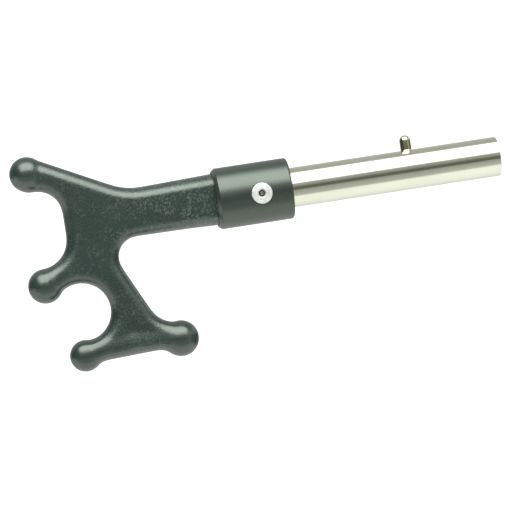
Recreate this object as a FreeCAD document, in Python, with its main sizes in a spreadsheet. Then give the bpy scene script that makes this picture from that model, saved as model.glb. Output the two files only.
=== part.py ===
import FreeCAD, Part
import math
import os
import Sketcher
from FreeCAD import Rotation, Vector

# Boat hook head that plugs into a telescopic pole.
# Millimetres. +X runs along the steel spigot to its open tip, +Z is the side the snap button
# stands on, and the origin is on the spigot's axis where the pole stops against the socket.

DIMS = {
    # moulded web: a flat slab whose outline is a chain of tangent lines and arcs
    "web_thick": 17.0,
    "web_round": 6.4,
    "web_end_x": -40.0,
    "neck_top_z": 14.26,
    "neck_top_deg": 1.6,
    "neck_low_z": -14.02,
    "neck_low_deg": -0.6,
    "crotch_rad": 32.0,
    "brow_deg": -27.0,
    "top_bay_rad": 13.4,
    "low_bay_rad": 15.8,
    "bay_wall_x": -126.4,
    "ring_bay_rad": 16.1,
    "toe_pinch_rad": 12.0,
    "sole_z": -78.5,
    "sole_deg": 2.1,
    "heel_pinch_rad": 10.0,
    "heel_bay_rad": 15.5,
    "shin_x": -98.6,
    "shin_deg": -64.3,
    "armpit_rad": 10.9,
    # the four balls
    "nose_x": -142.7,
    "nose_z": 29.15,
    "nose_rad": 9.4,
    "chin_x": -141.75,
    "chin_z": -33.1,
    "chin_rad": 9.4,
    "toe_x": -125.7,
    "toe_z": -74.6,
    "toe_rad": 8.5,
    "heel_x": -72.2,
    "heel_z": -73.0,
    "heel_rad": 9.8,
    # the round end of the slab inside each ball
    "nose_root_x": -141.5,
    "nose_root_z": 28.3,
    "nose_root_rad": 9.4,
    "chin_root_x": -140.8,
    "chin_root_z": -32.2,
    "chin_root_rad": 8.6,
    "toe_root_x": -125.2,
    "toe_root_z": -74.2,
    "toe_root_rad": 7.7,
    "heel_root_x": -73.2,
    "heel_root_z": -72.7,
    "heel_root_rad": 9.0,
    # neck: a rounded bar that swells from the web to the collar; half heights and half widths
    "neck_root_x": -93.0,
    "neck_root_high": 12.7,
    "neck_root_wide": 7.9,
    "neck_mouth_x": -39.0,
    "neck_mouth_high": 14.45,
    "neck_mouth_wide": 10.2,
    "neck_corner": 7.8,
    # socket inside the collar
    "socket_len": 42.0,
    "socket_rad": 14.95,
    "bore_rad": 11.05,
    "bore_depth": 40.0,
    # collar sleeve
    "sleeve_back_x": -42.4,
    "sleeve_cut_x": -40.5,
    "sleeve_rad": 17.0,
    "sleeve_bore": 15.0,
    "sleeve_lip": 15.4,
    "sleeve_round": 1.5,
    "seat_rad": 6.1,
    "seat_at": 16.3,
    "seat_depth": 3.0,
    # spigot tube
    "tube_rad": 11.0,
    "tube_inner_rad": 9.5,
    "tube_back_x": -39.9,
    "tube_tip_x": 118.0,
    "tube_deburr": 0.35,
    # blind rivets; heights are distances from the spigot's axis
    "rivet_x": -17.5,
    "rivet_hole_rad": 3.05,
    "rivet_hole_span": 50.0,
    "shank_rad": 3.0,
    "rivet_core_rad": 1.55,
    "rivet_head_rad": 5.75,
    "rivet_seat": 16.35,
    "rivet_edge": 16.95,
    "rivet_crown_rad": 3.8,
    "rivet_crown": 18.05,
    "rivet_mouth_rad": 2.0,
    "rivet_mouth": 17.45,
    "bulb_rad": 4.1,
    "bulb_root": 8.9,
    "bulb_belly": 8.2,
    "bulb_end": 5.6,
    "mandrel_rad": 1.5,
    "mandrel_top": 17.2,
    "mandrel_head_rad": 2.4,
    "mandrel_head_top": 5.55,
    "mandrel_head_end": 3.6,
    # snap button; heights are distances from the spigot's axis
    "button_x": 67.6,
    "button_hole_rad": 3.6,
    "button_rad": 3.1,
    "button_dome": 16.2,
    "button_crown": 19.3,
    "shoulder_rad": 3.45,
    "shoulder_top": 12.0,
    "shoulder_foot": 8.35,
    "tail_rad": 2.0,
    "peen_rad": 3.0,
    "peen_top": 7.45,
    "peen_foot": 6.4,
    # leaf spring, bent double inside the tube
    "leaf_wide": 9.0,
    "leaf_bend_x": 19.0,
    "leaf_bend_rad": 3.6,
    "leaf_inner_rad": 2.8,
    "leaf_nose_x": 15.4,
    "leaf_nose_in_x": 16.2,
    "leaf_flat_x": 60.0,
    "leaf_tip_x": 73.0,
    "leaf_out": 8.3,
    "leaf_in": 7.5,
    "leaf_hole_rad": 2.05,
}
BALLS = ("nose", "chin", "toe", "heel")

doc = FreeCAD.newDocument("boat_hook_head")
sheet = doc.addObject("Spreadsheet::Sheet", "Dims")
for row, (name, size) in enumerate(DIMS.items(), start=1):
    sheet.set(f"A{row}", name)
    sheet.set(f"B{row}", str(size))
    sheet.setAlias(f"B{row}", name)
doc.recompute()


def size_of(name):
    """The value of a dimension. A leading minus sign turns it round, and "0" is zero."""
    if name == "0":
        return 0.0
    return -DIMS[name[1:]] if name.startswith("-") else DIMS[name]


def cell(name):
    """The same dimension as an expression on the sheet."""
    if name == "0":
        return "0"
    return f"-Dims.{name[1:]}" if name.startswith("-") else f"Dims.{name}"


def body_named(name):
    body = doc.addObject("PartDesign::Body", name)
    body.Label = name
    return body


def sketch_on(body, plane, name, lift=None):
    """A sketch on one of the body's origin planes, lifted along its normal by a dimension."""
    sketch = body.newObject("Sketcher::SketchObject", name)
    planes = {f.Role: f for f in body.Origin.OriginFeatures}
    sketch.AttachmentSupport = [(planes[plane], "")]
    sketch.MapMode = "FlatFace"
    if lift:
        sketch.setExpression("AttachmentOffset.Base.z", cell(lift))
    return sketch


def bind(sketch, kind, targets, name):
    """Adds a constraint that the sheet drives."""
    start = math.radians(size_of(name)) if kind == "Angle" else size_of(name)
    index = sketch.addConstraint(Sketcher.Constraint(kind, *targets, start))
    sketch.setExpression(f"Constraints[{index}]", cell(name))


def place(sketch, geo, point, x, y):
    """Puts one point of an element at two dimensions from the origin."""
    bind(sketch, "DistanceX", (-1, 1, geo, point), x)
    bind(sketch, "DistanceY", (-1, 1, geo, point), y)


def join(sketch, kind, first, second):
    sketch.addConstraint(Sketcher.Constraint(kind, *first, *second))


def arc_through(centre, radius, start, end):
    """A counterclockwise arc that runs from near one point to near another."""
    angles = [math.atan2(p[1] - centre[1], p[0] - centre[0]) for p in (start, end)]
    ring = Part.Circle(Vector(*centre, 0), Vector(0, 0, 1), radius)
    return Part.ArcOfCircle(ring, *angles)


def circle(sketch, radius, x="0", y="0"):
    start = Part.Circle(Vector(size_of(x), size_of(y), 0), Vector(0, 0, 1), size_of(radius))
    geo = sketch.addGeometry(start)
    bind(sketch, "Radius", (geo,), radius)
    place(sketch, geo, 3, x, y)


def profile(sketch, corners):
    """A closed outline, counterclockwise. A corner is two dimension names, and a third one is
    the radius of the arc that leaves it; a minus sign there makes the arc hollow."""
    points = [(size_of(c[0]), size_of(c[1])) for c in corners]
    ends = []
    for corner, start, end in zip(corners, points, points[1:] + points[:1]):
        if len(corner) == 2:
            geo = sketch.addGeometry(Part.LineSegment(Vector(*start, 0), Vector(*end, 0)))
            ends.append((geo, 1, 2))
            continue
        radius = size_of(corner[2])
        chord = math.dist(start, end)
        rise = math.sqrt(max(radius**2 - chord**2 / 4, 0.0)) / chord
        side = math.copysign(rise, radius)
        centre = (
            (start[0] + end[0]) / 2 - side * (end[1] - start[1]),
            (start[1] + end[1]) / 2 + side * (end[0] - start[0]),
        )
        if radius > 0:
            geo = sketch.addGeometry(arc_through(centre, radius, start, end))
            ends.append((geo, 1, 2))
        else:
            geo = sketch.addGeometry(arc_through(centre, -radius, end, start))
            ends.append((geo, 2, 1))
        bind(sketch, "Radius", (geo,), corner[2].lstrip("-"))
    for here, after in zip(ends, ends[1:] + ends[:1]):
        join(sketch, "Coincident", (here[0], here[2]), (after[0], after[1]))
    for (geo, first, _), corner in zip(ends, corners):
        place(sketch, geo, first, corner[0], corner[1])


def rounded_rectangle(sketch, half_wide, half_high, corner):
    """Four lines and four equal corners, centred on the origin."""
    wide, high, rad = size_of(half_wide), size_of(half_high), size_of(corner)
    flat_w, flat_h = wide - rad, high - rad
    turns = ((1, 1), (-1, 1), (-1, -1), (1, -1))
    arcs = []
    for step, (sx, sy) in enumerate(turns):
        ring = Part.Circle(Vector(sx * flat_w, sy * flat_h, 0), Vector(0, 0, 1), rad)
        quarter = Part.ArcOfCircle(ring, step * math.pi / 2, (step + 1) * math.pi / 2)
        arcs.append(sketch.addGeometry(quarter))
    sides = (
        ((flat_w, high), (-flat_w, high), "Horizontal", "DistanceY", half_high),
        ((-wide, flat_h), (-wide, -flat_h), "Vertical", "DistanceX", "-" + half_wide),
        ((-flat_w, -high), (flat_w, -high), "Horizontal", "DistanceY", "-" + half_high),
        ((wide, -flat_h), (wide, flat_h), "Vertical", "DistanceX", half_wide),
    )
    for step, (start, end, level, way, name) in enumerate(sides):
        line = sketch.addGeometry(Part.LineSegment(Vector(*start, 0), Vector(*end, 0)))
        join(sketch, "Tangent", (arcs[step], 2), (line, 1))
        join(sketch, "Tangent", (line, 2), (arcs[(step + 1) % 4], 1))
        sketch.addConstraint(Sketcher.Constraint(level, line))
        bind(sketch, way, (-1, 1, line, 1), name)
    for arc in arcs[1:]:
        sketch.addConstraint(Sketcher.Constraint("Equal", arcs[0], arc))
    bind(sketch, "Radius", (arcs[0],), corner)


def pad(body, sketch, length, name, symmetric=True):
    feature = body.newObject("PartDesign::Pad", name)
    feature.Profile = sketch
    feature.SideType = "Symmetric" if symmetric else "One side"
    feature.setExpression("Length", cell(length))
    return feature


def pocket(body, sketch, length, name, side="One side", outward=False):
    feature = body.newObject("PartDesign::Pocket", name)
    feature.Profile = sketch
    feature.SideType = side
    feature.Reversed = outward
    feature.setExpression("Length", cell(length))
    return feature


def turn(body, sketch, axis, name):
    """A full revolution about an axis of its sketch."""
    feature = body.newObject("PartDesign::Revolution", name)
    feature.Profile = sketch
    feature.ReferenceAxis = (sketch, [axis])
    feature.Angle = 360
    return feature


def rivet_holes(body):
    """A hole right across the spigot's axis, for the two rivets."""
    sketch = sketch_on(body, "XZ_Plane", "RivetHoleSketch")
    circle(sketch, "rivet_hole_rad", "rivet_x")
    pocket(body, sketch, "rivet_hole_span", "RivetHoles", side="Symmetric")


def web_outline(body):
    """The web's edge, from the neck's top over the four prongs to the neck's underside.

    Each step gives the place where it ends and, for an arc, its centre and radius. Places
    are starting guesses: the tangent constraints and the sheet settle them. "round" bulges
    outwards, and "bay" is hollow.
    """
    sketch = sketch_on(body, "XZ_Plane", "WebOutline")
    steps = {
        "neck_top": ("line", (-81.0, 13.1)),
        "crotch": ("bay", (-96.0, 15.8), (-81.9, 45.1), "crotch_rad"),
        "brow": ("line", (-137.2, 36.7)),
        "nose": ("round", (-140.8, 18.9), (-141.5, 28.3), "nose_root_rad"),
        "top_bay": ("bay", (-126.4, 5.6), (-139.8, 5.6), "top_bay_rad"),
        "bay_wall": ("line", (-126.4, -7.8)),
        "low_bay": ("bay", (-141.3, -23.6), (-142.2, -7.8), "low_bay_rad"),
        "chin": ("round", (-135.0, -38.5), (-140.8, -32.2), "chin_root_rad"),
        "ring_bay": ("bay", (-124.9, -66.5), (-124.1, -50.4), "ring_bay_rad"),
        "toe": ("round", (-120.8, -80.5), (-125.2, -74.2), "toe_root_rad"),
        "toe_pinch": ("bay", (-114.1, -78.5), (-114.1, -90.5), "toe_pinch_rad"),
        "sole": ("line", (-84.6, -77.3)),
        "heel_pinch": ("bay", (-77.8, -79.8), (-84.6, -87.3), "heel_pinch_rad"),
        "heel": ("round", (-72.8, -63.7), (-73.2, -72.7), "heel_root_rad"),
        "heel_bay": ("bay", (-85.9, -55.2), (-71.9, -48.5), "heel_bay_rad"),
        "shin": ("line", (-98.6, -29.4)),
        "armpit": ("bay", (-88.6, -13.5), (-88.6, -24.4), "armpit_rad"),
        "neck_low": ("line", (-40.0, -14.2)),
        "root": ("line", (-40.0, 14.7)),
    }
    at = steps["root"][1]
    made = {}
    for name, step in steps.items():
        kind, end = step[:2]
        if kind == "line":
            shape = Part.LineSegment(Vector(*at, 0), Vector(*end, 0))
        elif kind == "round":
            shape = arc_through(step[2], size_of(step[3]), at, end)
        else:
            shape = arc_through(step[2], size_of(step[3]), end, at)
        geo = sketch.addGeometry(shape)
        made[name] = (geo, 2, 1) if kind == "bay" else (geo, 1, 2)
        at = end
    names = list(steps)
    for here, after in zip(names, names[1:] + names[:1]):
        kind = "Coincident" if "root" in (here, after) else "Tangent"
        geo, _, last = made[here]
        join(sketch, kind, (geo, last), made[after][:2])
    for name, step in steps.items():
        if step[0] != "line":
            bind(sketch, "Radius", (made[name][0],), step[3])
    for ball in BALLS:
        place(sketch, made[ball][0], 3, f"{ball}_root_x", f"{ball}_root_z")
    for line in ("root", "bay_wall"):
        sketch.addConstraint(Sketcher.Constraint("Vertical", made[line][0]))
    for line, slope in (
        ("neck_top", "neck_top_deg"),
        ("brow", "brow_deg"),
        ("sole", "sole_deg"),
        ("shin", "shin_deg"),
        ("neck_low", "neck_low_deg"),
    ):
        slope_of(sketch, made[line][0], slope, backwards=line not in ("sole", "neck_low"))
    bind(sketch, "DistanceX", (-1, 1, made["root"][0], 2), "web_end_x")
    bind(sketch, "DistanceY", (-1, 1, made["root"][0], 2), "neck_top_z")
    bind(sketch, "DistanceY", (-1, 1, made["root"][0], 1), "neck_low_z")
    bind(sketch, "DistanceX", (-1, 1, made["bay_wall"][0], 1), "bay_wall_x")
    bind(sketch, "DistanceY", (-1, 1, made["sole"][0], 1), "sole_z")
    bind(sketch, "DistanceX", (-1, 1, made["shin"][0], 2), "shin_x")
    return sketch


def slope_of(sketch, line, name, backwards):
    """Sets a line's slope from the sketch's x axis, seen from its left end."""
    left = 2 if backwards else 1
    bind(sketch, "Angle", (-1, 1, line, left), name)


def hook_head():
    """One moulding: web with rounded edges, four balls, swelling neck and bored socket."""
    body = body_named("hook_head")
    web = pad(body, web_outline(body), "web_thick", "Web")
    doc.recompute()
    edges = []
    for index, edge in enumerate(web.Shape.Edges, start=1):
        box = edge.BoundBox
        on_face = box.YLength < 0.01 and abs(abs(box.YMin) - DIMS["web_thick"] / 2) < 0.01
        if on_face and box.XMin < DIMS["web_end_x"] - 0.01:
            edges.append(f"Edge{index}")
    soft = body.newObject("PartDesign::Fillet", "WebRounding")
    soft.Base = (web, edges)
    soft.setExpression("Radius", cell("web_round"))
    body.Tip = soft
    for ball in BALLS:
        sphere = body.newObject("PartDesign::AdditiveSphere", ball.capitalize())
        sphere.setExpression("Radius", cell(f"{ball}_rad"))
        sphere.setExpression("Placement.Base.x", cell(f"{ball}_x"))
        sphere.setExpression("Placement.Base.z", cell(f"{ball}_z"))
    ends = []
    for end in ("root", "mouth"):
        sketch = sketch_on(body, "YZ_Plane", f"Neck{end.capitalize()}", f"neck_{end}_x")
        rounded_rectangle(sketch, f"neck_{end}_wide", f"neck_{end}_high", "neck_corner")
        ends.append(sketch)
    neck = body.newObject("PartDesign::AdditiveLoft", "Neck")
    neck.Profile = ends[0]
    neck.Sections = [ends[1]]
    sketch = sketch_on(body, "YZ_Plane", "SocketSketch")
    circle(sketch, "socket_rad")
    socket = pad(body, sketch, "socket_len", "Socket", symmetric=False)
    socket.Reversed = True
    sketch = sketch_on(body, "YZ_Plane", "BoreSketch")
    circle(sketch, "bore_rad")
    pocket(body, sketch, "bore_depth", "Bore")
    rivet_holes(body)
    return body


def collar_sleeve():
    """Smooth sleeve over the socket, bevelled at the back, with a flat seat for each rivet."""
    body = body_named("collar_sleeve")
    sketch = sketch_on(body, "XZ_Plane", "SleeveProfile")
    corners = [
        ("sleeve_back_x", "sleeve_bore"),
        ("0", "sleeve_bore"),
        ("0", "sleeve_rad"),
        ("sleeve_cut_x", "sleeve_rad"),
        ("sleeve_back_x", "sleeve_lip"),
    ]
    profile(sketch, corners)
    ring = turn(body, sketch, "H_Axis", "Sleeve")
    doc.recompute()
    rim = [
        f"Edge{index}"
        for index, edge in enumerate(ring.Shape.Edges, start=1)
        if edge.BoundBox.XMin > -0.01 and edge.BoundBox.ZMax > DIMS["sleeve_rad"] - 0.01
    ]
    edge_round = body.newObject("PartDesign::Fillet", "FrontRounding")
    edge_round.Base = (ring, rim)
    edge_round.setExpression("Radius", cell("sleeve_round"))
    body.Tip = edge_round
    for side, lift, outward in (("Front", "seat_at", True), ("Back", "-seat_at", False)):
        sketch = sketch_on(body, "XZ_Plane", f"{side}SeatSketch", lift)
        circle(sketch, "seat_rad", "rivet_x")
        pocket(body, sketch, "seat_depth", f"{side}Seat", outward=outward)
    rivet_holes(body)
    return body


def spigot_tube():
    """Steel tube, deburred at both ends, with rivet holes and the snap button's hole."""
    body = body_named("spigot_tube")
    sketch = sketch_on(body, "XZ_Plane", "TubeProfile")
    corners = [
        ("tube_back_x", "tube_inner_rad"),
        ("tube_tip_x", "tube_inner_rad"),
        ("tube_tip_x", "tube_rad"),
        ("tube_back_x", "tube_rad"),
    ]
    profile(sketch, corners)
    tube = turn(body, sketch, "H_Axis", "Tube")
    doc.recompute()
    ends = [
        f"Edge{index}"
        for index, edge in enumerate(tube.Shape.Edges, start=1)
        if edge.BoundBox.XLength < 0.01
    ]
    deburr = body.newObject("PartDesign::Chamfer", "Deburr")
    deburr.Base = (tube, ends)
    deburr.setExpression("Size", cell("tube_deburr"))
    body.Tip = deburr
    rivet_holes(body)
    sketch = sketch_on(body, "XY_Plane", "ButtonHoleSketch")
    circle(sketch, "button_hole_rad", "button_x")
    pocket(body, sketch, "rivet_hole_span", "ButtonHole", outward=True)
    return body


def stand_outwards(body, side):
    """Turns a piece made round +Z so that it points along -Y at the front or +Y at the back."""
    quarter = 90 if side == "front" else -90
    body.Placement.Rotation = Rotation(Vector(1, 0, 0), quarter)
    body.setExpression("Placement.Base.x", cell("rivet_x"))


def rivet_body(side):
    """Head, shank and the bulb that sets against the inside of the tube."""
    body = body_named(f"{side}_rivet_body")
    sketch = sketch_on(body, "XZ_Plane", "RivetProfile")
    corners = [
        ("rivet_core_rad", "bulb_end"),
        ("shank_rad", "bulb_end"),
        ("bulb_rad", "bulb_belly"),
        ("shank_rad", "bulb_root"),
        ("shank_rad", "rivet_seat"),
        ("rivet_head_rad", "rivet_seat"),
        ("rivet_head_rad", "rivet_edge"),
        ("rivet_crown_rad", "rivet_crown"),
        ("rivet_mouth_rad", "rivet_crown"),
        ("rivet_mouth_rad", "rivet_mouth"),
        ("rivet_core_rad", "rivet_mouth"),
    ]
    profile(sketch, corners)
    turn(body, sketch, "V_Axis", "Rivet")
    stand_outwards(body, side)
    return body


def rivet_mandrel(side):
    """The stub of the mandrel, snapped off inside the head, with its own head in the tube."""
    body = body_named(f"{side}_rivet_mandrel")
    sketch = sketch_on(body, "XZ_Plane", "MandrelProfile")
    corners = [
        ("0", "mandrel_head_end"),
        ("mandrel_rad", "mandrel_head_end"),
        ("mandrel_head_rad", "mandrel_head_top"),
        ("mandrel_rad", "mandrel_head_top"),
        ("mandrel_rad", "mandrel_top"),
        ("0", "mandrel_top"),
    ]
    profile(sketch, corners)
    turn(body, sketch, "V_Axis", "Mandrel")
    stand_outwards(body, side)
    return body


def snap_button():
    """Domed pin with a wider shoulder in the tube's hole and a tail peened under the leaf."""
    body = body_named("snap_button")
    sketch = sketch_on(body, "XZ_Plane", "ButtonProfile")
    corners = [
        ("0", "peen_foot"),
        ("peen_rad", "peen_foot"),
        ("peen_rad", "peen_top"),
        ("tail_rad", "peen_top"),
        ("tail_rad", "shoulder_foot"),
        ("shoulder_rad", "shoulder_foot"),
        ("shoulder_rad", "shoulder_top"),
        ("button_rad", "shoulder_top"),
        ("button_rad", "button_dome", "button_rad"),
        ("0", "button_crown"),
    ]
    profile(sketch, corners)
    turn(body, sketch, "V_Axis", "Button")
    body.setExpression("Placement.Base.x", cell("button_x"))
    return body


def button_spring():
    """A steel strip bent double; its upper arm holds the button out through the tube."""
    body = body_named("button_spring")
    sketch = sketch_on(body, "XZ_Plane", "LeafProfile")
    corners = [
        ("leaf_tip_x", "leaf_in"),
        ("leaf_tip_x", "leaf_out"),
        ("leaf_flat_x", "leaf_out"),
        ("leaf_bend_x", "leaf_bend_rad", "leaf_bend_rad"),
        ("leaf_nose_x", "0", "leaf_bend_rad"),
        ("leaf_bend_x", "-leaf_bend_rad"),
        ("leaf_flat_x", "-leaf_out"),
        ("leaf_tip_x", "-leaf_out"),
        ("leaf_tip_x", "-leaf_in"),
        ("leaf_flat_x", "-leaf_in"),
        ("leaf_bend_x", "-leaf_inner_rad", "-leaf_inner_rad"),
        ("leaf_nose_in_x", "0", "-leaf_inner_rad"),
        ("leaf_bend_x", "leaf_inner_rad"),
        ("leaf_flat_x", "leaf_in"),
    ]
    profile(sketch, corners)
    pad(body, sketch, "leaf_wide", "Leaf")
    sketch = sketch_on(body, "XY_Plane", "TailHoleSketch")
    circle(sketch, "leaf_hole_rad", "button_x")
    pocket(body, sketch, "rivet_hole_span", "TailHole", outward=True)
    return body


bodies = [hook_head(), collar_sleeve(), spigot_tube()]
for side in ("front", "back"):
    bodies += [rivet_body(side), rivet_mandrel(side)]
bodies += [snap_button(), button_spring()]
doc.recompute()

for thing in doc.Objects:
    if "Invalid" in thing.State or "Error" in thing.State:
        raise RuntimeError(f"{thing.Label} did not compute: {thing.State}")
os.makedirs("parts", exist_ok=True)
for body in bodies:
    if body.Shape.isNull() or not body.Shape.isValid():
        raise RuntimeError(f"{body.Label} has no valid shape")
    for feature in body.Group:
        if "Pocket" in feature.TypeId:
            before = feature.BaseFeature.Shape.Volume
            if feature.Shape.Volume > before - 1:
                raise RuntimeError(f"{feature.Label} of {body.Label} cut nothing")
    body.Shape.exportStep(f"parts/{body.Label}.step")
    print(body.Label, round(body.Shape.Volume), "mm3,", len(body.Shape.Solids), "solid")
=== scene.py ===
import math

import bmesh
import bpy
import numpy as np
from mathutils import Matrix, Vector


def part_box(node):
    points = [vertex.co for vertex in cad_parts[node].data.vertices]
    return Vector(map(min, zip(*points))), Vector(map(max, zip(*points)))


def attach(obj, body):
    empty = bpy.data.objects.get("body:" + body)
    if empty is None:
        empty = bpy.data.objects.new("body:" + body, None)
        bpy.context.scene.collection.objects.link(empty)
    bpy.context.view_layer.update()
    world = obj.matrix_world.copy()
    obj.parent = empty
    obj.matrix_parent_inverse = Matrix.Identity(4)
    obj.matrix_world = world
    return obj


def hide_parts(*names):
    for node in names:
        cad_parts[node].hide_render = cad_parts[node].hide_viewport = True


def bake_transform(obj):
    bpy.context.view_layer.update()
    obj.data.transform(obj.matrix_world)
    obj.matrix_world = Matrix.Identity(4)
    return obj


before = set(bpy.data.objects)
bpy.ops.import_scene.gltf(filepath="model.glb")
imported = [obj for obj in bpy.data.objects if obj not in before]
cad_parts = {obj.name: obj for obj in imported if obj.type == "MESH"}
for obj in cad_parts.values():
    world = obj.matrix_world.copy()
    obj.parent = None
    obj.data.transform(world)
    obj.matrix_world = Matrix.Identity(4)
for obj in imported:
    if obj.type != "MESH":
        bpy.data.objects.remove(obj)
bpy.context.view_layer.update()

MM = 0.001

# ---------------------------------------------------------------- sizes, in millimetres
# Ball ends of the four prongs, on the middle plane Y = 0: X, Z, radius, the fillet where the prong
# runs into the ball, and the depth of the shallow groove that is left there.
BALLS = {
    "nose": (-142.7, 29.15, 9.4, 0.3, 0.65),
    "chin": (-141.75, -33.1, 9.4, 2.4, 0.1),
    "toe": (-125.7, -74.2, 8.5, 2.4, 0.0),
    "heel": (-72.2, -73.0, 9.8, 1.8, 0.2),
}
GROOVE_WIDTH = 1.6
GROOVE_FADE = 6.5         # the groove fades out from here to the middle plane
PRONG_SIDE = (0.1, 1.5)   # a ball's fillet grows over this range of how far the prong reaches past it
FOOT_BAR = [BALLS["toe"][:2], (-98.0, -71.3), BALLS["heel"][:2]]    # the bar between toe and heel
FOOT_BAR_RADIUS = 7.7
BAR_BEND = 3.0            # softness of the bend in the middle of the foot bar
BAR_FILLET = 2.0          # fillet between the foot bar and the web
WEB_HALF = 8.0            # half thickness of the web's flat faces
FOOT_HALF = 7.65          # and where they run down to the foot bar
FOOT_START_Z, FOOT_END_Z = -38.0, -60.0
NECK_HALF = 10.2          # half thickness of the neck where it enters the collar
NECK_START_X, NECK_END_X = -104.0, -42.0
EDGE_DEPTH = 6.9          # how far in from the outline the faces roll off towards the edge
RIDGE_SOFTNESS = 1.5      # blur of the roll-off where two edges meet in the middle of a prong
RIDGE_START, RIDGE_FULL = 0.5, 5.0      # that blur comes in between these depths
CUSP_SOFTNESS = 2.2       # blur that fills the sharp hollows where a ball stands proud
EDGE_FILLET = 0.8         # fillets are this small at the outline, so that it keeps its place,
FILLET_DEPTH = 2.2        # and have their full size from this far in
FINE_STEP, QUICK_STEP = 0.6, 1.1        # cell size of the grid that the head is meshed on
GRID_MARGIN = 3.0
BESIDE_SEAM = 0.01        # the CAD mesh has edges on the middle plane, so it is cut just beside them
BALL_SKIN = (-1.0, 9.0)   # the grain comes in over this distance from a ball's surface

# Turned pieces: corners as (along the axis, radius, rounding).
SOCKET_BACK_X = -42.0
SOCKET_FLOOR_X = -40.0
SOCKET = [
    (SOCKET_BACK_X, 0.0, 0), (SOCKET_BACK_X, 14.95, 0.3), (0.0, 14.95, 0.3), (0.0, 11.05, 0.3),
    (SOCKET_FLOOR_X, 11.05, 0.4), (SOCKET_FLOOR_X, 0.0, 0)]
FORM_END_X = SOCKET_FLOOR_X - 0.4       # the soft form ends inside the socket's floor
SLEEVE = [
    (-42.4, 15.0, 0.1), (-42.4, 15.4, 0.2), (-40.5, 17.0, 0.5), (-24.5, 17.0, 0), (-10.5, 17.0, 0),
    (0.0, 17.0, 1.5), (0.0, 15.0, 0.15)]
SEAT_AT = 16.3            # the flat rivet seats' distance from the spigot's axis
SEAT_RADIUS = 6.1
TUBE = [
    (-39.9, 9.5, 0.2), (-39.9, 11.0, 0.35), (62.0, 11.0, 0), (73.0, 11.0, 0), (118.0, 11.0, 0.35),
    (118.0, 9.5, 0.25)]
RIVET_X = -17.5
RIVET_HOLE = 3.05
RIVET = [
    (5.6, 1.55, 0), (5.6, 3.0, 0.3), (8.2, 4.1, 0.8), (8.9, 3.0, 0.2), (16.35, 3.0, 0.1),
    (16.35, 5.75, 0.1), (16.95, 5.75, 0.3), (17.8, 4.2, 0.8), (17.55, 3.85, 0.15),
    (17.95, 3.5, 0.25), (18.05, 2.5, 0.3), (17.3, 1.95, 0.3), (16.0, 1.75, 0.2), (15.4, 1.55, 0)]
MANDREL = [
    (3.6, 0.0, 0), (3.6, 1.5, 0.2), (5.55, 2.4, 0.3), (5.55, 1.5, 0.2), (15.9, 1.5, 0.3),
    (16.9, 0.95, 0.2), (17.2, 0.6, 0.15), (17.1, 0.0, 0)]
BUTTON_X = 67.6
BUTTON_HOLE = 3.6
BUTTON = [
    (6.4, 0.0, 0), (6.4, 3.0, 0.45), (7.45, 3.0, 0.3), (7.45, 2.0, 0), (8.35, 2.0, 0.1),
    (8.35, 3.45, 0.25), (10.4, 3.45, 0.2), (11.25, 3.1, 0.4), (19.3, 3.1, 3.1), (19.3, 0.0, 0)]
# Middle of the leaf spring's strip: X, Z, rounding.
LEAF_PATH = [
    (73.0, 7.9, 0), (60.0, 7.9, 14.0), (15.8, 2.83, 3.1), (15.8, -2.83, 3.1), (60.0, -7.9, 14.0),
    (73.0, -7.9, 0)]
LEAF_HALF_WIDTH = 4.5
LEAF_HALF_THICK = 0.4
LEAF_EASE = 0.12          # how far the strip's long edges are eased
LEAF_CORNER = 2.0         # plan radius of the strip's corners
LEAF_STATION = 1.5        # longest step along the strip
LEAF_END = 2.2            # the last stretch at each end, where the corners' own stations are
LEAF_HOLE = 2.05
THROUGH = 25.0            # far enough to pass right through the collar


# ---------------------------------------------------------------- mesh helpers
def mesh_object(name, points, faces):
    """A new object from points in millimetres, in the frame."""
    mesh = bpy.data.meshes.new(name)
    mesh.from_pydata([tuple(p) for p in np.asarray(points) * MM], [], faces)
    mesh.validate()
    thing = bpy.data.objects.new(name, mesh)
    bpy.context.scene.collection.objects.link(thing)
    return thing


def shade(thing, crisp_degrees):
    """Smooth faces, with the edges that turn sharper than this kept crisp."""
    for face in thing.data.polygons:
        face.use_smooth = True
    thing.data.set_sharp_from_angle(angle=math.radians(crisp_degrees))


def rounded(corners, steps=6):
    """The points of a loop or path through corners (a, b, rounding), each turned with that radius."""
    points = []
    for i, (*place, rounding) in enumerate(corners):
        here = np.array(place)
        if not rounding:
            points.append(here)
            continue
        back = np.array(corners[i - 1][:2]) - here
        on = np.array(corners[(i + 1) % len(corners)][:2]) - here
        back, on = back / np.linalg.norm(back), on / np.linalg.norm(on)
        half = 0.5 * math.acos(np.clip(back @ on, -1.0, 1.0))
        middle = (back + on) / np.linalg.norm(back + on)
        centre = here + middle * rounding / math.sin(half)
        spoke = here + back * rounding / math.tan(half) - centre
        way = math.copysign(1.0, on[0] * back[1] - on[1] * back[0])
        for k in range(steps + 1):
            turn = way * (math.pi - 2.0 * half) * k / steps
            c, s = math.cos(turn), math.sin(turn)
            points.append(centre + (c * spoke[0] - s * spoke[1], s * spoke[0] + c * spoke[1]))
    return points


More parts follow.
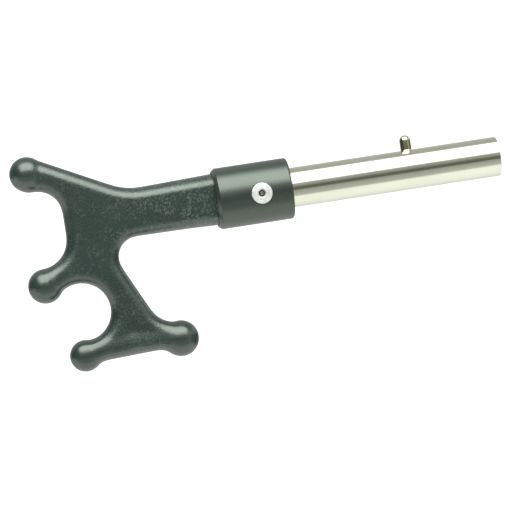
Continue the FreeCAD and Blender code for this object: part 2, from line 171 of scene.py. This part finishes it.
def lathe(name, corners, axis="X", at=(0.0, 0.0, 0.0), segments=128, steps=6):
    """Turns a closed loop of (along, radius, rounding) corners round an axis through the point at.

    The axis "-Y" is Y with the profile's positive end pointing at the front."""
    turn = np.linspace(0.0, 2.0 * math.pi, segments, endpoint=False)
    loop = np.array(rounded(corners, steps))
    along = np.repeat(loop[:, :1], segments, axis=1)
    first = loop[:, 1:] * np.cos(turn)
    second = loop[:, 1:] * np.sin(turn)
    columns = {
        "X": (along, first, second), "Y": (second, along, first), "-Y": (second, -along, first),
        "Z": (first, second, along)}
    points = np.stack(columns[axis], axis=-1).reshape(-1, 3) + np.array(at)
    rows = len(loop)
    faces = []
    for i in range(rows):
        for k in range(segments):
            here, below = i * segments, ((i + 1) % rows) * segments
            nearby = (k + 1) % segments
            faces.append((here + k, here + nearby, below + nearby, below + k))
    thing = mesh_object(name, points, faces)
    weld(thing)
    return thing


def drill(thing, radius, low, high, axis, at):
    """Cuts a round hole along an axis through the point at, from low to high along it."""
    corners = [(low, 0.0, 0), (low, radius, 0), (high, radius, 0), (high, 0.0, 0)]
    combine(thing, lathe("drill", corners, axis, at, segments=72), "DIFFERENCE")


def weld(thing, distance=1e-4):
    """Merges points that coincide and turns every face outwards."""
    work = bmesh.new()
    work.from_mesh(thing.data)
    bmesh.ops.remove_doubles(work, verts=work.verts, dist=distance * MM)
    bmesh.ops.dissolve_degenerate(work, edges=work.edges, dist=distance * MM)
    bmesh.ops.recalc_face_normals(work, faces=work.faces)
    work.to_mesh(thing.data)
    work.free()


def combine(thing, other, operation):
    """Joins or cuts thing with other, and removes other."""
    step = thing.modifiers.new("boolean", "BOOLEAN")
    step.operation = operation
    step.solver = "MANIFOLD"
    step.object = other
    graph = bpy.context.evaluated_depsgraph_get()
    mesh = bpy.data.meshes.new_from_object(thing.evaluated_get(graph))
    thing.modifiers.clear()
    thing.data = mesh
    bpy.data.objects.remove(other)


# ---------------------------------------------------------------- the head's surface
def middle_outline():
    """The head's outline on its middle plane, in millimetres, as segments (X, Z) to (X, Z)."""
    work = bmesh.new()
    work.from_mesh(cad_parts["hook_head"].data)
    cut = bmesh.ops.bisect_plane(
        work, geom=work.verts[:] + work.edges[:] + work.faces[:], dist=1e-7,
        plane_co=(0, BESIDE_SEAM * MM, 0), plane_no=(0, 1, 0))
    ends = []
    for edge in cut["geom_cut"]:
        if isinstance(edge, bmesh.types.BMEdge):
            a, b = (v.co / MM for v in edge.verts)
            if max(a.x, b.x) < SOCKET_BACK_X - 0.01:
                ends.append(((a.x, a.z), (b.x, b.z)))
    work.free()
    segments = np.array(ends)
    # the neck's two edges run on in line, into the socket, so that the cut doesn't count as an edge
    right = segments.reshape(-1, 2)
    right = right[right[:, 0] > right[:, 0].max() - 0.5]
    top, low = right[:, 1].max(), right[:, 1].min()
    x, far = right[:, 0].max(), right[:, 0].max() + 3.0 * EDGE_DEPTH
    closing = [((x, top), (far, top)), ((far, top), (far, low)), ((far, low), (x, low))]
    return np.concatenate([segments, np.array(closing)])


def signed_distance(segments, x, z):
    """Distance from the points to the outline, positive inside it."""
    nearest = np.full(x.shape, 1e9)
    inside = np.zeros(x.shape, bool)
    for (ax, az), (bx, bz) in segments:
        dx, dz = bx - ax, bz - az
        length = dx * dx + dz * dz
        if length < 1e-12:
            continue
        t = np.clip(((x - ax) * dx + (z - az) * dz) / length, 0.0, 1.0)
        nearest = np.minimum(nearest, np.hypot(x - ax - t * dx, z - az - t * dz))
        if az != bz:
            crosses = (az > z) != (bz > z)
            inside ^= crosses & (x < ax + dx * (z - az) / dz)
    return np.where(inside, nearest, -nearest)


def blurred(grid, sigma):
    """Gaussian blur of a 2-D grid; sigma is in cells."""
    reach = int(math.ceil(3.0 * sigma))
    weights = np.exp(-0.5 * (np.arange(-reach, reach + 1) / sigma) ** 2)
    weights /= weights.sum()
    for axis in (0, 1):
        padded = np.pad(grid, [(reach, reach) if a == axis else (0, 0) for a in (0, 1)], mode="edge")
        size = grid.shape[axis]
        grid = sum(w * np.take(padded, range(i, i + size), axis=axis) for i, w in enumerate(weights))
    return grid


def smoothstep(low, high, value):
    t = np.clip((value - low) / (high - low), 0.0, 1.0)
    return t * t * (3.0 - 2.0 * t)


def joined(a, b, fillet):
    """The union of two fields, with a fillet where they meet."""
    near = np.maximum(fillet - np.abs(a - b), 0.0) / fillet
    return np.minimum(a, b) - near * near * fillet / 4.0


def round_field(reach_squared, radius):
    """A ball's or a bar's field, from the squared distance to its middle."""
    return (reach_squared / radius - radius) / 2.0


class HeadField:
    """Negative inside the moulded head, zero on its surface. Everything is in millimetres."""

    def __init__(self, step):
        low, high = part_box("hook_head")
        self.step = step
        self.low = np.array([
            low.x / MM - GRID_MARGIN, -NECK_HALF - GRID_MARGIN, low.z / MM - GRID_MARGIN])
        self.high = np.array([
            SOCKET_FLOOR_X + GRID_MARGIN, NECK_HALF + GRID_MARGIN, high.z / MM + GRID_MARGIN])
        self.count = np.ceil((self.high - self.low) / step).astype(int) + 1
        x, z = (self.low[a] + step * np.arange(self.count[a]) for a in (0, 2))
        x, z = np.meshgrid(x, z, indexing="ij")
        exact = signed_distance(middle_outline(), x, z)
        exact = np.maximum(exact, blurred(exact, CUSP_SOFTNESS / step))
        soft = blurred(exact, RIDGE_SOFTNESS / step)
        self.depth = exact + (soft - exact) * smoothstep(RIDGE_START, RIDGE_FULL, exact)

    def depth_at(self, x, z):
        """Depth inside the outline, read from the grid."""
        u = np.clip((x - self.low[0]) / self.step, 0, self.count[0] - 1.001)
        v = np.clip((z - self.low[2]) / self.step, 0, self.count[2] - 1.001)
        i, k = u.astype(int), v.astype(int)
        u, v = u - i, v - k
        d = self.depth
        lower = d[i, k] * (1 - u) + d[i + 1, k] * u
        upper = d[i, k + 1] * (1 - u) + d[i + 1, k + 1] * u
        return lower * (1 - v) + upper * v

    def body(self, x, y, z, depth):
        """The web and the neck: flat faces that roll off towards the outline."""
        half = WEB_HALF + (NECK_HALF - WEB_HALF) * smoothstep(NECK_START_X, NECK_END_X, x)
        half = half + (FOOT_HALF - half) * smoothstep(-FOOT_START_Z, -FOOT_END_Z, -z)
        edge = np.maximum(EDGE_DEPTH - depth, 0.0) / EDGE_DEPTH
        return (y * y - half * half * (1.0 - edge * edge)) / (2.0 * half)

    def foot_bar(self, x, y, z, depth):
        """The round bar along the foot, kept inside the outline."""
        bar = 1e9
        for (ax, az), (bx, bz) in zip(FOOT_BAR, FOOT_BAR[1:]):
            dx, dz = bx - ax, bz - az
            t = np.clip(((x - ax) * dx + (z - az) * dz) / (dx * dx + dz * dz), 0.0, 1.0)
            apart = (x - ax - t * dx) ** 2 + y * y + (z - az - t * dz) ** 2
            bar = joined(round_field(apart, FOOT_BAR_RADIUS), bar, BAR_BEND)
        return np.maximum(bar, y * y / (2.0 * FOOT_BAR_RADIUS) - depth)

    def value(self, x, y, z, depth=None):
        """Negative inside, positive outside, and near the surface about the distance to it."""
        if depth is None:
            depth = self.depth_at(x, z)
        inland = smoothstep(0.0, FILLET_DEPTH, depth)
        off_middle = smoothstep(0.0, GROOVE_FADE, np.abs(y))
        body, bar = self.body(x, y, z, depth), self.foot_bar(x, y, z, depth)
        field = joined(body, bar, EDGE_FILLET + BAR_FILLET * inland)
        for cx, cz, radius, fillet, groove in BALLS.values():
            flat = (x - cx) ** 2 + (z - cz) ** 2
            ball = round_field(flat + y * y, radius)
            field = field + groove * off_middle * np.exp(-(ball / GROOVE_WIDTH) ** 2)
            on_prong = smoothstep(*PRONG_SIDE, depth - radius + np.sqrt(flat))
            field = joined(field, ball, EDGE_FILLET + fillet * inland * on_prong)
        return np.maximum(field, x - FORM_END_X)

    def grid(self):
        x, y, z = (self.low[a] + self.step * np.arange(self.count[a]) for a in range(3))
        x, y, z = x[:, None, None], y[None, :, None], z[None, None, :]
        return self.value(x, y, z, self.depth[:, None, :])

    def settle(self, points):
        """Moves points that lie near the surface onto it."""
        reach = 0.25 * self.step
        for _ in range(3):
            x, y, z = points.T
            here = self.value(x, y, z)
            slope = np.stack([
                self.value(x + reach, y, z) - self.value(x - reach, y, z),
                self.value(x, y + reach, z) - self.value(x, y - reach, z),
                self.value(x, y, z + reach) - self.value(x, y, z - reach)], axis=-1) / (2.0 * reach)
            size = np.maximum((slope ** 2).sum(-1), 0.05)
            move = -here[:, None] * slope / size[:, None]
            length = np.linalg.norm(move, axis=-1, keepdims=True)
            points = points + move * np.minimum(1.0, 0.5 * self.step / np.maximum(length, 1e-9))
        return points


def surface_quads(field, low, step):
    """A closed quad mesh where the gridded field is zero, with one point in each cell it crosses."""
    inside = field < 0
    size = np.array(field.shape)
    corner = [(i, j, k) for i in (0, 1) for j in (0, 1) for k in (0, 1)]

    def shifted(grid, offset):
        return grid[tuple(slice(o, s - 1 + o) for o, s in zip(offset, size))]

    # each cell that the surface crosses gets a point, the middle of where it crosses the cell's edges
    filled = sum(shifted(inside, c).astype(np.int8) for c in corner)
    crossed = (filled > 0) & (filled < 8)
    cell = np.argwhere(crossed)
    number = np.full(crossed.shape, -1)
    number[crossed] = np.arange(len(cell))
    total, hits = np.zeros((len(cell), 3)), np.zeros(len(cell))
    for axis in range(3):
        for start in (c for c in corner if c[axis] == 0):
            a = field[tuple((cell + start).T)]
            end = np.array(start)
            end[axis] = 1
            b = field[tuple((cell + end).T)]
            cut = (a < 0) != (b < 0)
            t = np.where(cut, a / np.where(cut, a - b, 1.0), 0.0)
            point = np.tile(np.array(start, float), (len(cell), 1))
            point[:, axis] += t
            total += point * cut[:, None]
            hits += cut
    points = low + step * (cell + total / hits[:, None])
    # each grid edge that it crosses gets a quad, through the points of the four cells round it
    faces = []
    for axis in range(3):
        across, up = (axis + 1) % 3, (axis + 2) % 3
        lower = [slice(None)] * 3
        upper = [slice(None)] * 3
        lower[axis], upper[axis] = slice(0, -1), slice(1, None)
        a, b = inside[tuple(lower)], inside[tuple(upper)]
        edge = np.argwhere(a != b)
        outward = a[tuple(edge.T)]
        quad = []
        for da, du in ((0, 0), (-1, 0), (-1, -1), (0, -1)):
            around = edge.copy()
            around[:, across] += da
            around[:, up] += du
            quad.append(number[tuple(around.T)])
        quad = np.stack(quad, axis=-1)
        quad[~outward] = quad[~outward][:, ::-1]
        faces.append(quad)
    return points, np.concatenate(faces)


def mark_grain(head):
    """A point attribute for the mould grain: 0 on the polished ball ends, 1 well away from them."""
    points = np.empty(len(head.data.vertices) * 3)
    head.data.vertices.foreach_get("co", points)
    points = points.reshape(-1, 3) / MM
    clear = np.full(len(points), 1e9)
    for cx, cz, radius, *_ in BALLS.values():
        clear = np.minimum(clear, np.linalg.norm(points - (cx, 0.0, cz), axis=1) - radius)
    grain = head.data.attributes.new("grain", "FLOAT", "POINT")
    grain.data.foreach_set("value", smoothstep(*BALL_SKIN, clear).astype(np.float32))


def hook_head():
    """The moulded head: web, prongs and neck as one soft form, joined to the turned socket."""
    step = FINE_STEP
    field = HeadField(step)
    points, faces = surface_quads(field.grid(), field.low, step)
    head = mesh_object("hook_head_moulding", field.settle(points), faces.tolist())
    weld(head)
    socket = lathe("socket", SOCKET, segments=160)
    drill(socket, RIVET_HOLE, -THROUGH, THROUGH, "Y", (RIVET_X, 0.0, 0.0))
    combine(head, socket, "UNION")
    mark_grain(head)
    return head


# ---------------------------------------------------------------- the other pieces
def collar_sleeve():
    sleeve = lathe("collar", SLEEVE, segments=192)
    drill(sleeve, RIVET_HOLE, -THROUGH, THROUGH, "Y", (RIVET_X, 0.0, 0.0))
    for low, high in ((-THROUGH, -SEAT_AT), (SEAT_AT, THROUGH)):
        drill(sleeve, SEAT_RADIUS, low, high, "Y", (RIVET_X, 0.0, 0.0))
    return sleeve


def spigot_tube():
    tube = lathe("tube", TUBE, segments=224)
    drill(tube, RIVET_HOLE, -THROUGH, THROUGH, "Y", (RIVET_X, 0.0, 0.0))
    drill(tube, BUTTON_HOLE, 0.0, THROUGH, "Z", (BUTTON_X, 0.0, 0.0))
    return tube


def leaf_stations():
    """Places along the strip: distance from its start, X, Z, and the direction across it (X, Z)."""
    corners = rounded(LEAF_PATH, 16)
    path = [corners[0]]
    for there in corners[1:]:
        gap = there - path[-1]
        pieces = max(1, round(np.linalg.norm(gap) / LEAF_STATION))
        path += [path[-1] + gap * (k + 1) / pieces for k in range(pieces)]
    path = np.array(path)
    run = np.concatenate([[0.0], np.cumsum(np.linalg.norm(np.diff(path, axis=0), axis=1))])
    between = run[(run > LEAF_END) & (run < run[-1] - LEAF_END)]
    turns = LEAF_CORNER * (1.0 - np.cos(np.linspace(0.0, math.pi / 2.0, 9)))
    at = np.unique(np.round(np.concatenate([turns, between, run[-1] - turns]), 5))
    x, z = (np.interp(at, run, path[:, i]) for i in (0, 1))
    dx, dz = np.gradient(x, at), np.gradient(z, at)
    size = np.hypot(dx, dz)
    return at, x, z, -dz / size, dx / size


def leaf_spring():
    """A strip bent double, with eased edges, rounded corners and a hole for the button's tail."""
    at, x, z, across_x, across_z = leaf_stations()
    short = np.maximum(LEAF_CORNER - np.minimum(at, at[-1] - at), 0.0)
    half = LEAF_HALF_WIDTH - LEAF_CORNER + np.sqrt(np.maximum(LEAF_CORNER ** 2 - short ** 2, 0.0))
    # round the strip's section: side, lift, and which of the two is eased
    rim = []
    for side, lift in ((-1, -1), (-1, 1), (1, 1), (1, -1)):
        eased = ((0, 1), (1, 0)) if side * lift > 0 else ((1, 0), (0, 1))
        rim += [(side, lift, *ease) for ease in eased]
    points = []
    for i in range(len(at)):
        for side, lift, in_side, in_lift in rim:
            y = side * (half[i] - LEAF_EASE * in_side)
            off = lift * (LEAF_HALF_THICK - LEAF_EASE * in_lift)
            points.append((x[i] + across_x[i] * off, y, z[i] + across_z[i] * off))
    count = len(rim)
    faces = [tuple(range(count)), tuple(range(len(points) - count, len(points)))[::-1]]
    for a in range(0, len(points) - count, count):
        for k in range(count):
            m = (k + 1) % count
            faces.append((a + k, a + m, a + count + m, a + count + k))
    strip = mesh_object("leaf_spring", points, faces)
    weld(strip)
    drill(strip, LEAF_HOLE, 0.0, THROUGH, "Z", (BUTTON_X, 0.0, 0.0))
    return strip


# ---------------------------------------------------------------- materials
def material(name, **settings):
    """A new material; settings are the shader's own sockets, with _ for a space."""
    made = bpy.data.materials.new(name)
    made.use_nodes = True
    shader = made.node_tree.nodes["Principled BSDF"]
    for socket, value in settings.items():
        shader.inputs[socket.replace("_", " ")].default_value = value
    return made, shader


class Nodes:
    """Adds nodes to a tree and links them in one call."""

    def __init__(self, tree):
        self.tree = tree

    def add(self, kind, inputs=(), out=0, **settings):
        made = self.tree.nodes.new(kind)
        for name, value in settings.items():
            setattr(made, name, value)
        for name, value in dict(inputs).items():
            if isinstance(value, bpy.types.NodeSocket):
                self.tree.links.new(value, made.inputs[name])
            else:
                made.inputs[name].default_value = value
        return made.outputs[out]

    def place(self):
        return self.add("ShaderNodeTexCoord", out="Object")

    def scaled(self, vector, scale):
        return self.add("ShaderNodeMapping", {"Vector": vector, "Scale": scale})

    def noise(self, vector, scale, detail=2.0, roughness=0.5):
        return self.add("ShaderNodeTexNoise", {
            "Vector": vector, "Scale": scale, "Detail": detail, "Roughness": roughness})

    def ranged(self, value, low, high, to_low, to_high):
        return self.add("ShaderNodeMapRange", {
            "Value": value, "From Min": low, "From Max": high, "To Min": to_low, "To Max": to_high})

    def faded(self, value, low, high):
        """0 at low and 1 at high, easing in and out."""
        inputs = {"Value": value, "From Min": low, "From Max": high}
        return self.add("ShaderNodeMapRange", inputs, interpolation_type="SMOOTHSTEP")

    def maths(self, operation, a, b=0.0):
        return self.add("ShaderNodeMath", {0: a, 1: b}, operation=operation)

    def mixed(self, share, first, second):
        return self.add("ShaderNodeMix", {0: share, 6: first, 7: second}, out=2, data_type="RGBA")

    def bump(self, height, strength, distance, normal=None):
        inputs = {"Height": height, "Strength": strength, "Distance": distance}
        if normal is not None:
            inputs["Normal"] = normal
        return self.add("ShaderNodeBump", inputs)

    def link(self, output, socket):
        self.tree.links.new(output, socket)


NYLON_TINT = (0.90, 1.0, 0.87, 1)
WEB_TO_NECK = (-0.105, -0.070)      # X in metres: the pale specks get stronger from here to here


def grained_nylon():
    """Green-black nylon with a sparked mould grain that fades out on the ball ends."""
    made, shader = material(
        "grained_nylon_look", IOR=1.5, Specular_IOR_Level=1.0, Specular_Tint=NYLON_TINT)
    n = Nodes(made.node_tree)
    place = n.place()
    grain = n.add("ShaderNodeAttribute", out="Fac", attribute_name="grain")
    blotch = n.noise(place, 70.0, 3.0)
    pebble = n.noise(place, 900.0, 2.0, 0.6)
    speck = n.noise(place, 950.0, 1.5)
    patches = n.noise(place, 120.0, 2.0)
    # two dark tones in soft blotches, with pale specks that gather in patches
    blotch = n.ranged(blotch, 0.35, 0.65, 0.0, 1.0)
    tone = n.mixed(blotch, (0.0075, 0.0165, 0.0150, 1), (0.0105, 0.0210, 0.0190, 1))
    pale = n.maths("MULTIPLY", n.ranged(speck, 0.50, 0.68, 0.0, 1.0), grain)
    pale = n.maths("MULTIPLY", pale, n.ranged(patches, 0.40, 0.60, 0.1, 1.0))
    along = n.add("ShaderNodeSeparateXYZ", {"Vector": place})
    pale = n.maths("MULTIPLY", pale, n.ranged(along, *WEB_TO_NECK, 0.55, 1.9))
    tone = n.mixed(pale, tone, (0.040, 0.057, 0.048, 1))
    tone = n.mixed(grain, (0.012, 0.0230, 0.0190, 1), tone)
    n.link(tone, shader.inputs["Base Color"])
    rough = n.ranged(pebble, 0.3, 0.7, 0.21, 0.30)
    rough = n.maths("ADD", rough, n.maths("MULTIPLY", grain, 0.03))
    n.link(rough, shader.inputs["Roughness"])
    height = n.maths("MULTIPLY", pebble, n.ranged(grain, 0.0, 1.0, 0.25, 1.0))
    n.link(n.bump(height, 0.45, 0.0003), shader.inputs["Normal"])
    return made


def smooth_nylon():
    """The same nylon, off a smoother mould, with faint lengthways drag marks."""
    made, shader = material(
        "smooth_nylon_look", IOR=1.5, Specular_IOR_Level=1.0, Specular_Tint=NYLON_TINT)
    n = Nodes(made.node_tree)
    place = n.place()
    cloud = n.noise(place, 55.0, 3.0)
    drag = n.noise(n.scaled(place, (25.0, 420.0, 420.0)), 1.0, 3.0)
    fine = n.noise(place, 1400.0, 1.0)
    cloud = n.ranged(cloud, 0.35, 0.65, 0.0, 1.0)
    tone = n.mixed(cloud, (0.0085, 0.0165, 0.0125, 1), (0.012, 0.0205, 0.016, 1))
    n.link(tone, shader.inputs["Base Color"])
    n.link(n.ranged(drag, 0.3, 0.7, 0.26, 0.33), shader.inputs["Roughness"])
    first = n.bump(fine, 0.12, 0.0002)
    n.link(n.bump(drag, 0.1, 0.0002, first), shader.inputs["Normal"])
    return made


def polished_steel():
    """Drawn stainless tube, polished, with faint lines along it and a few wipe marks."""
    made, shader = material("polished_steel_look", Metallic=1.0)
    n = Nodes(made.node_tree)
    place = n.place()
    lines = n.noise(n.scaled(place, (6.0, 900.0, 900.0)), 1.0, 3.0, 0.6)
    wipes = n.noise(n.scaled(place, (45.0, 110.0, 110.0)), 1.0, 4.0, 0.65)
    wiped = n.ranged(wipes, 0.35, 0.7, 0.0, 1.0)
    tone = n.mixed(wiped, (0.67, 0.69, 0.575, 1), (0.73, 0.745, 0.635, 1))
    n.link(tone, shader.inputs["Base Color"])
    n.link(n.ranged(wipes, 0.3, 0.75, 0.10, 0.15), shader.inputs["Roughness"])
    n.link(n.bump(lines, 0.05, 0.0001), shader.inputs["Normal"])
    return made


def plain_metal(name, dark, light, rough, bump, metallic=1.0):
    """Small turned or pressed metal pieces; rough is the lowest and highest roughness."""
    made, shader = material(name, Metallic=metallic)
    n = Nodes(made.node_tree)
    place = n.place()
    cloud = n.noise(place, 450.0, 3.0)
    fine = n.noise(place, 2600.0, 2.0)
    n.link(n.mixed(n.ranged(cloud, 0.35, 0.65, 0.0, 1.0), dark, light), shader.inputs["Base Color"])
    n.link(n.ranged(fine, 0.3, 0.7, *rough), shader.inputs["Roughness"])
    n.link(n.bump(fine, bump, 0.0001), shader.inputs["Normal"])
    return made


# ---------------------------------------------------------------- stage
IMAGE_CENTRE = Vector((-24.7, 0.0, -33.8)) * MM
VIEW_WIDTH = 282.5 * MM
LENS, SENSOR = 200.0, 36.0
AZIMUTH, ELEVATION, ROLL = -6.0, 3.0, 8.53
KEY = {
    "elevation": 59.2, "azimuth": 0.0, "distance": 1.3, "width": 2.9, "height": 2.16, "radiance": 4.8,
    "fades": (0.25, 0.25, 0.316, 0.408)}
# What a glossy surface sees round the object, by the angle from its front (0) over the top (90) and
# behind (180): degrees and radiance.
ROOM = [
    (-180, 0.65), (-150, 0.85), (-125, 1.1), (-95, 1.25), (-56, 1.27), (-46, 0.62), (-19, 0.46),
    (-10, 0.13), (0, 0.17), (11, 0.42), (34, 0.4), (90, 0.47), (140, 0.58), (180, 0.65)]
ROOM_WARMTH, DARK_WARMTH = 0.97, 0.85   # how much blue is left, and in the darkest part
DARK_BELOW = 0.3
WORLD_STRENGTH = 2.0      # the colours below are shares of this
PLAIN = (0.65, 0.65, 0.65, 1.0)         # the plain white that lights everything and fills the background
LEFT_WALL = (0.03, 0.03, 0.028, 1.0)
RIGHT_WALL = (0.27, 0.27, 0.23, 1.0)
RIGHT_FAR_WALL = (0.07, 0.07, 0.06, 1.0)
RIGHT_PANEL = (0.45, 0.45, 0.42, 1.0)
FLOOR_Z = -0.45
FLOOR_RINGS = [(1.0, 0.0), (2.0, 0.0), (3.2, 0.05), (4.0, 0.4)]     # radius and rise, in metres
FLOOR_SEGMENTS = 96


def direction(elevation, azimuth):
    """The way from the origin, in degrees; azimuth 0 is the object's front."""
    e, a = math.radians(elevation), math.radians(azimuth)
    return Vector((math.sin(a) * math.cos(e), -math.cos(a) * math.cos(e), math.sin(e)))


def camera():
    back = direction(ELEVATION, AZIMUTH)
    eye = bpy.data.cameras.new("camera")
    eye.lens, eye.sensor_width = LENS, SENSOR
    eye.clip_start, eye.clip_end = 0.05, 60.0
    thing = bpy.data.objects.new("camera", eye)
    bpy.context.scene.collection.objects.link(thing)
    thing.location = IMAGE_CENTRE + back * (VIEW_WIDTH * LENS / SENSOR)
    level = (-back).to_track_quat("-Z", "Y").to_matrix()
    rolled = level @ Matrix.Rotation(math.radians(-ROLL), 3, "Z")
    thing.rotation_mode = "QUATERNION"
    thing.rotation_quaternion = rolled.to_quaternion()
    bpy.context.scene.camera = thing


def softbox(name, elevation, azimuth, distance, width, height, radiance, fades):
    """A rectangular lamp facing the origin, that the camera doesn't see.

    fades are the shares of its width and height over which it dims: left, right, bottom and top."""
    away = direction(elevation, azimuth)
    lamp = bpy.data.lights.new(name, "AREA")
    lamp.shape = "RECTANGLE"
    lamp.size, lamp.size_y = width, height
    lamp.energy = radiance * math.pi * width * height
    lamp.use_nodes = True
    n = Nodes(lamp.node_tree)
    on_lamp = n.add("ShaderNodeNewGeometry", out="Parametric")
    across = n.add("ShaderNodeSeparateXYZ", {"Vector": on_lamp}).node
    level = 1.0
    for axis, (low, high) in (("X", fades[:2]), ("Y", fades[2:])):
        place = across.outputs[axis]
        level = n.maths("MULTIPLY", level, n.faded(place, 0.0, low))
        level = n.maths("MULTIPLY", level, n.faded(place, 1.0, 1.0 - high))
    n.link(level, lamp.node_tree.nodes["Emission"].inputs["Strength"])
    thing = bpy.data.objects.new(name, lamp)
    bpy.context.scene.collection.objects.link(thing)
    thing.location = away * distance
    thing.rotation_mode = "QUATERNION"
    thing.rotation_quaternion = (-away).to_track_quat("-Z", "Y")
    thing.visible_camera = False


def room_ramp(n, y, z):
    """The room's tones by the angle round the object's length."""
    angle = n.maths("ARCTAN2", z, n.maths("MULTIPLY", y, -1.0))
    share = n.ranged(angle, -math.pi, math.pi, 0.0, 1.0)
    tones = n.add("ShaderNodeValToRGB", {"Fac": share})
    stops = tones.node.color_ramp.elements
    for i, (degrees, level) in enumerate(ROOM):
        place = (degrees + 180.0) / 360.0
        stop = stops[i] if i < 2 else stops.new(place)
        stop.position = place
        warmth = DARK_WARMTH if level < DARK_BELOW else ROOM_WARMTH
        level = level / WORLD_STRENGTH
        stop.color = (level, level, warmth * level, 1.0)
    return tones


def room():
    """A studio that glossy surfaces reflect, and plain white for everything else."""
    world = bpy.data.worlds.new("studio")
    world.use_nodes = True
    bpy.context.scene.world = world
    n = Nodes(world.node_tree)
    way = n.add("ShaderNodeTexCoord", out="Generated")
    x, y, z = n.add("ShaderNodeSeparateXYZ", {"Vector": way}).node.outputs
    tones = room_ramp(n, y, z)
    # past the left end it is dark, down to a little below level
    left = n.ranged(x, -0.55, -0.85, 0.0, 1.0)
    above = n.ranged(z, -0.15, -0.02, 0.0, 1.0)
    tones = n.mixed(n.maths("MULTIPLY", left, above), tones, LEFT_WALL)
    # past the right end there is a dim wall, darker on the far side, with a panel half way up
    right = n.ranged(x, 0.55, 0.80, 0.0, 1.0)
    above = n.ranged(z, -0.6, -0.4, 0.0, 1.0)
    panel = n.maths("MULTIPLY", n.faded(z, 0.1, 0.25), n.faded(z, 0.65, 0.5))
    wall = n.mixed(n.ranged(y, -0.4, -0.2, 0.0, 1.0), RIGHT_WALL, RIGHT_FAR_WALL)
    wall = n.mixed(panel, wall, RIGHT_PANEL)
    tones = n.mixed(n.maths("MULTIPLY", right, above), tones, wall)
    path = n.add("ShaderNodeLightPath").node
    for ray in ("Is Diffuse Ray", "Is Camera Ray"):
        tones = n.mixed(path.outputs[ray], tones, PLAIN)
    background = world.node_tree.nodes["Background"]
    n.link(tones, background.inputs["Color"])
    background.inputs["Strength"].default_value = WORLD_STRENGTH


def floor():
    """A round pale floor well below the object, with its edge turned up softly.

    Light bounces off it, but the camera sees the white background in its place, so that the object
    can be looked at from below too."""
    work = bmesh.new()
    loops = []
    for radius, rise in FLOOR_RINGS:
        loop = []
        for k in range(FLOOR_SEGMENTS):
            turn = 2.0 * math.pi * k / FLOOR_SEGMENTS
            place = (radius * math.cos(turn), radius * math.sin(turn), FLOOR_Z + rise)
            loop.append(work.verts.new(place))
        loops.append(loop)
    work.faces.new(loops[0])
    for inner, outer in zip(loops, loops[1:]):
        for k in range(FLOOR_SEGMENTS):
            m = (k + 1) % FLOOR_SEGMENTS
            work.faces.new((inner[k], inner[m], outer[m], outer[k]))
    mesh = bpy.data.meshes.new("floor")
    work.to_mesh(mesh)
    work.free()
    thing = bpy.data.objects.new("floor", mesh)
    bpy.context.scene.collection.objects.link(thing)
    made, _ = material("pale_floor", Roughness=0.9, Base_Color=(0.9, 0.9, 0.9, 1))
    mesh.materials.append(made)
    thing.visible_glossy = False
    thing.visible_camera = False


# ---------------------------------------------------------------- build
LOOKS = {
    "grained_nylon": grained_nylon(),
    "smooth_nylon": smooth_nylon(),
    "polished_steel": polished_steel(),
    "rivet_aluminium": plain_metal(
        "rivet_look", (0.44, 0.46, 0.43, 1), (0.52, 0.54, 0.51, 1), (0.28, 0.42), 0.1, 0.4),
    "mandrel_steel": plain_metal(
        "mandrel_look", (0.20, 0.20, 0.18, 1), (0.32, 0.31, 0.28, 1), (0.35, 0.5), 0.2),
    "button_steel": plain_metal(
        "button_look", (0.54, 0.54, 0.38, 1), (0.64, 0.64, 0.47, 1), (0.12, 0.2), 0.05),
    "spring_steel": plain_metal(
        "spring_look", (0.40, 0.40, 0.38, 1), (0.50, 0.50, 0.47, 1), (0.25, 0.35), 0.08),
}
CRISP_DEGREES = 32.0
HEAD_CRISP_DEGREES = 40.0     # the head's tight fillets stay smooth


def clothe(thing, node, slot, crisp_degrees=CRISP_DEGREES):
    """Gives a new piece its material, and puts it in its CAD node's place."""
    shade(thing, crisp_degrees)
    thing.data.materials.clear()
    thing.data.materials.append(LOOKS[slot])
    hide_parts(node)


head = hook_head()
clothe(head, "hook_head", "grained_nylon", HEAD_CRISP_DEGREES)
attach(head, "root")
sleeve = collar_sleeve()
clothe(sleeve, "collar_sleeve", "smooth_nylon")
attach(sleeve, "root")
tube = spigot_tube()
clothe(tube, "spigot_tube", "polished_steel")
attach(tube, "root")
for side, axis in (("front", "-Y"), ("back", "Y")):
    rivet = lathe(f"{side}_rivet", RIVET, axis, (RIVET_X, 0.0, 0.0))
    clothe(rivet, f"{side}_rivet_body", "rivet_aluminium")
    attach(rivet, "root")
    mandrel = lathe(f"{side}_mandrel", MANDREL, axis, (RIVET_X, 0.0, 0.0), segments=64)
    clothe(mandrel, f"{side}_rivet_mandrel", "mandrel_steel")
    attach(mandrel, "root")
button = lathe("button_pin", BUTTON, "Z", (BUTTON_X, 0.0, 0.0), segments=96, steps=10)
clothe(button, "snap_button", "button_steel")
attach(button, "button")
spring = leaf_spring()
clothe(spring, "button_spring", "spring_steel")
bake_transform(spring)

camera()
softbox("key", **KEY)
room()
floor()
bpy.context.scene.view_settings.view_transform = "Standard"
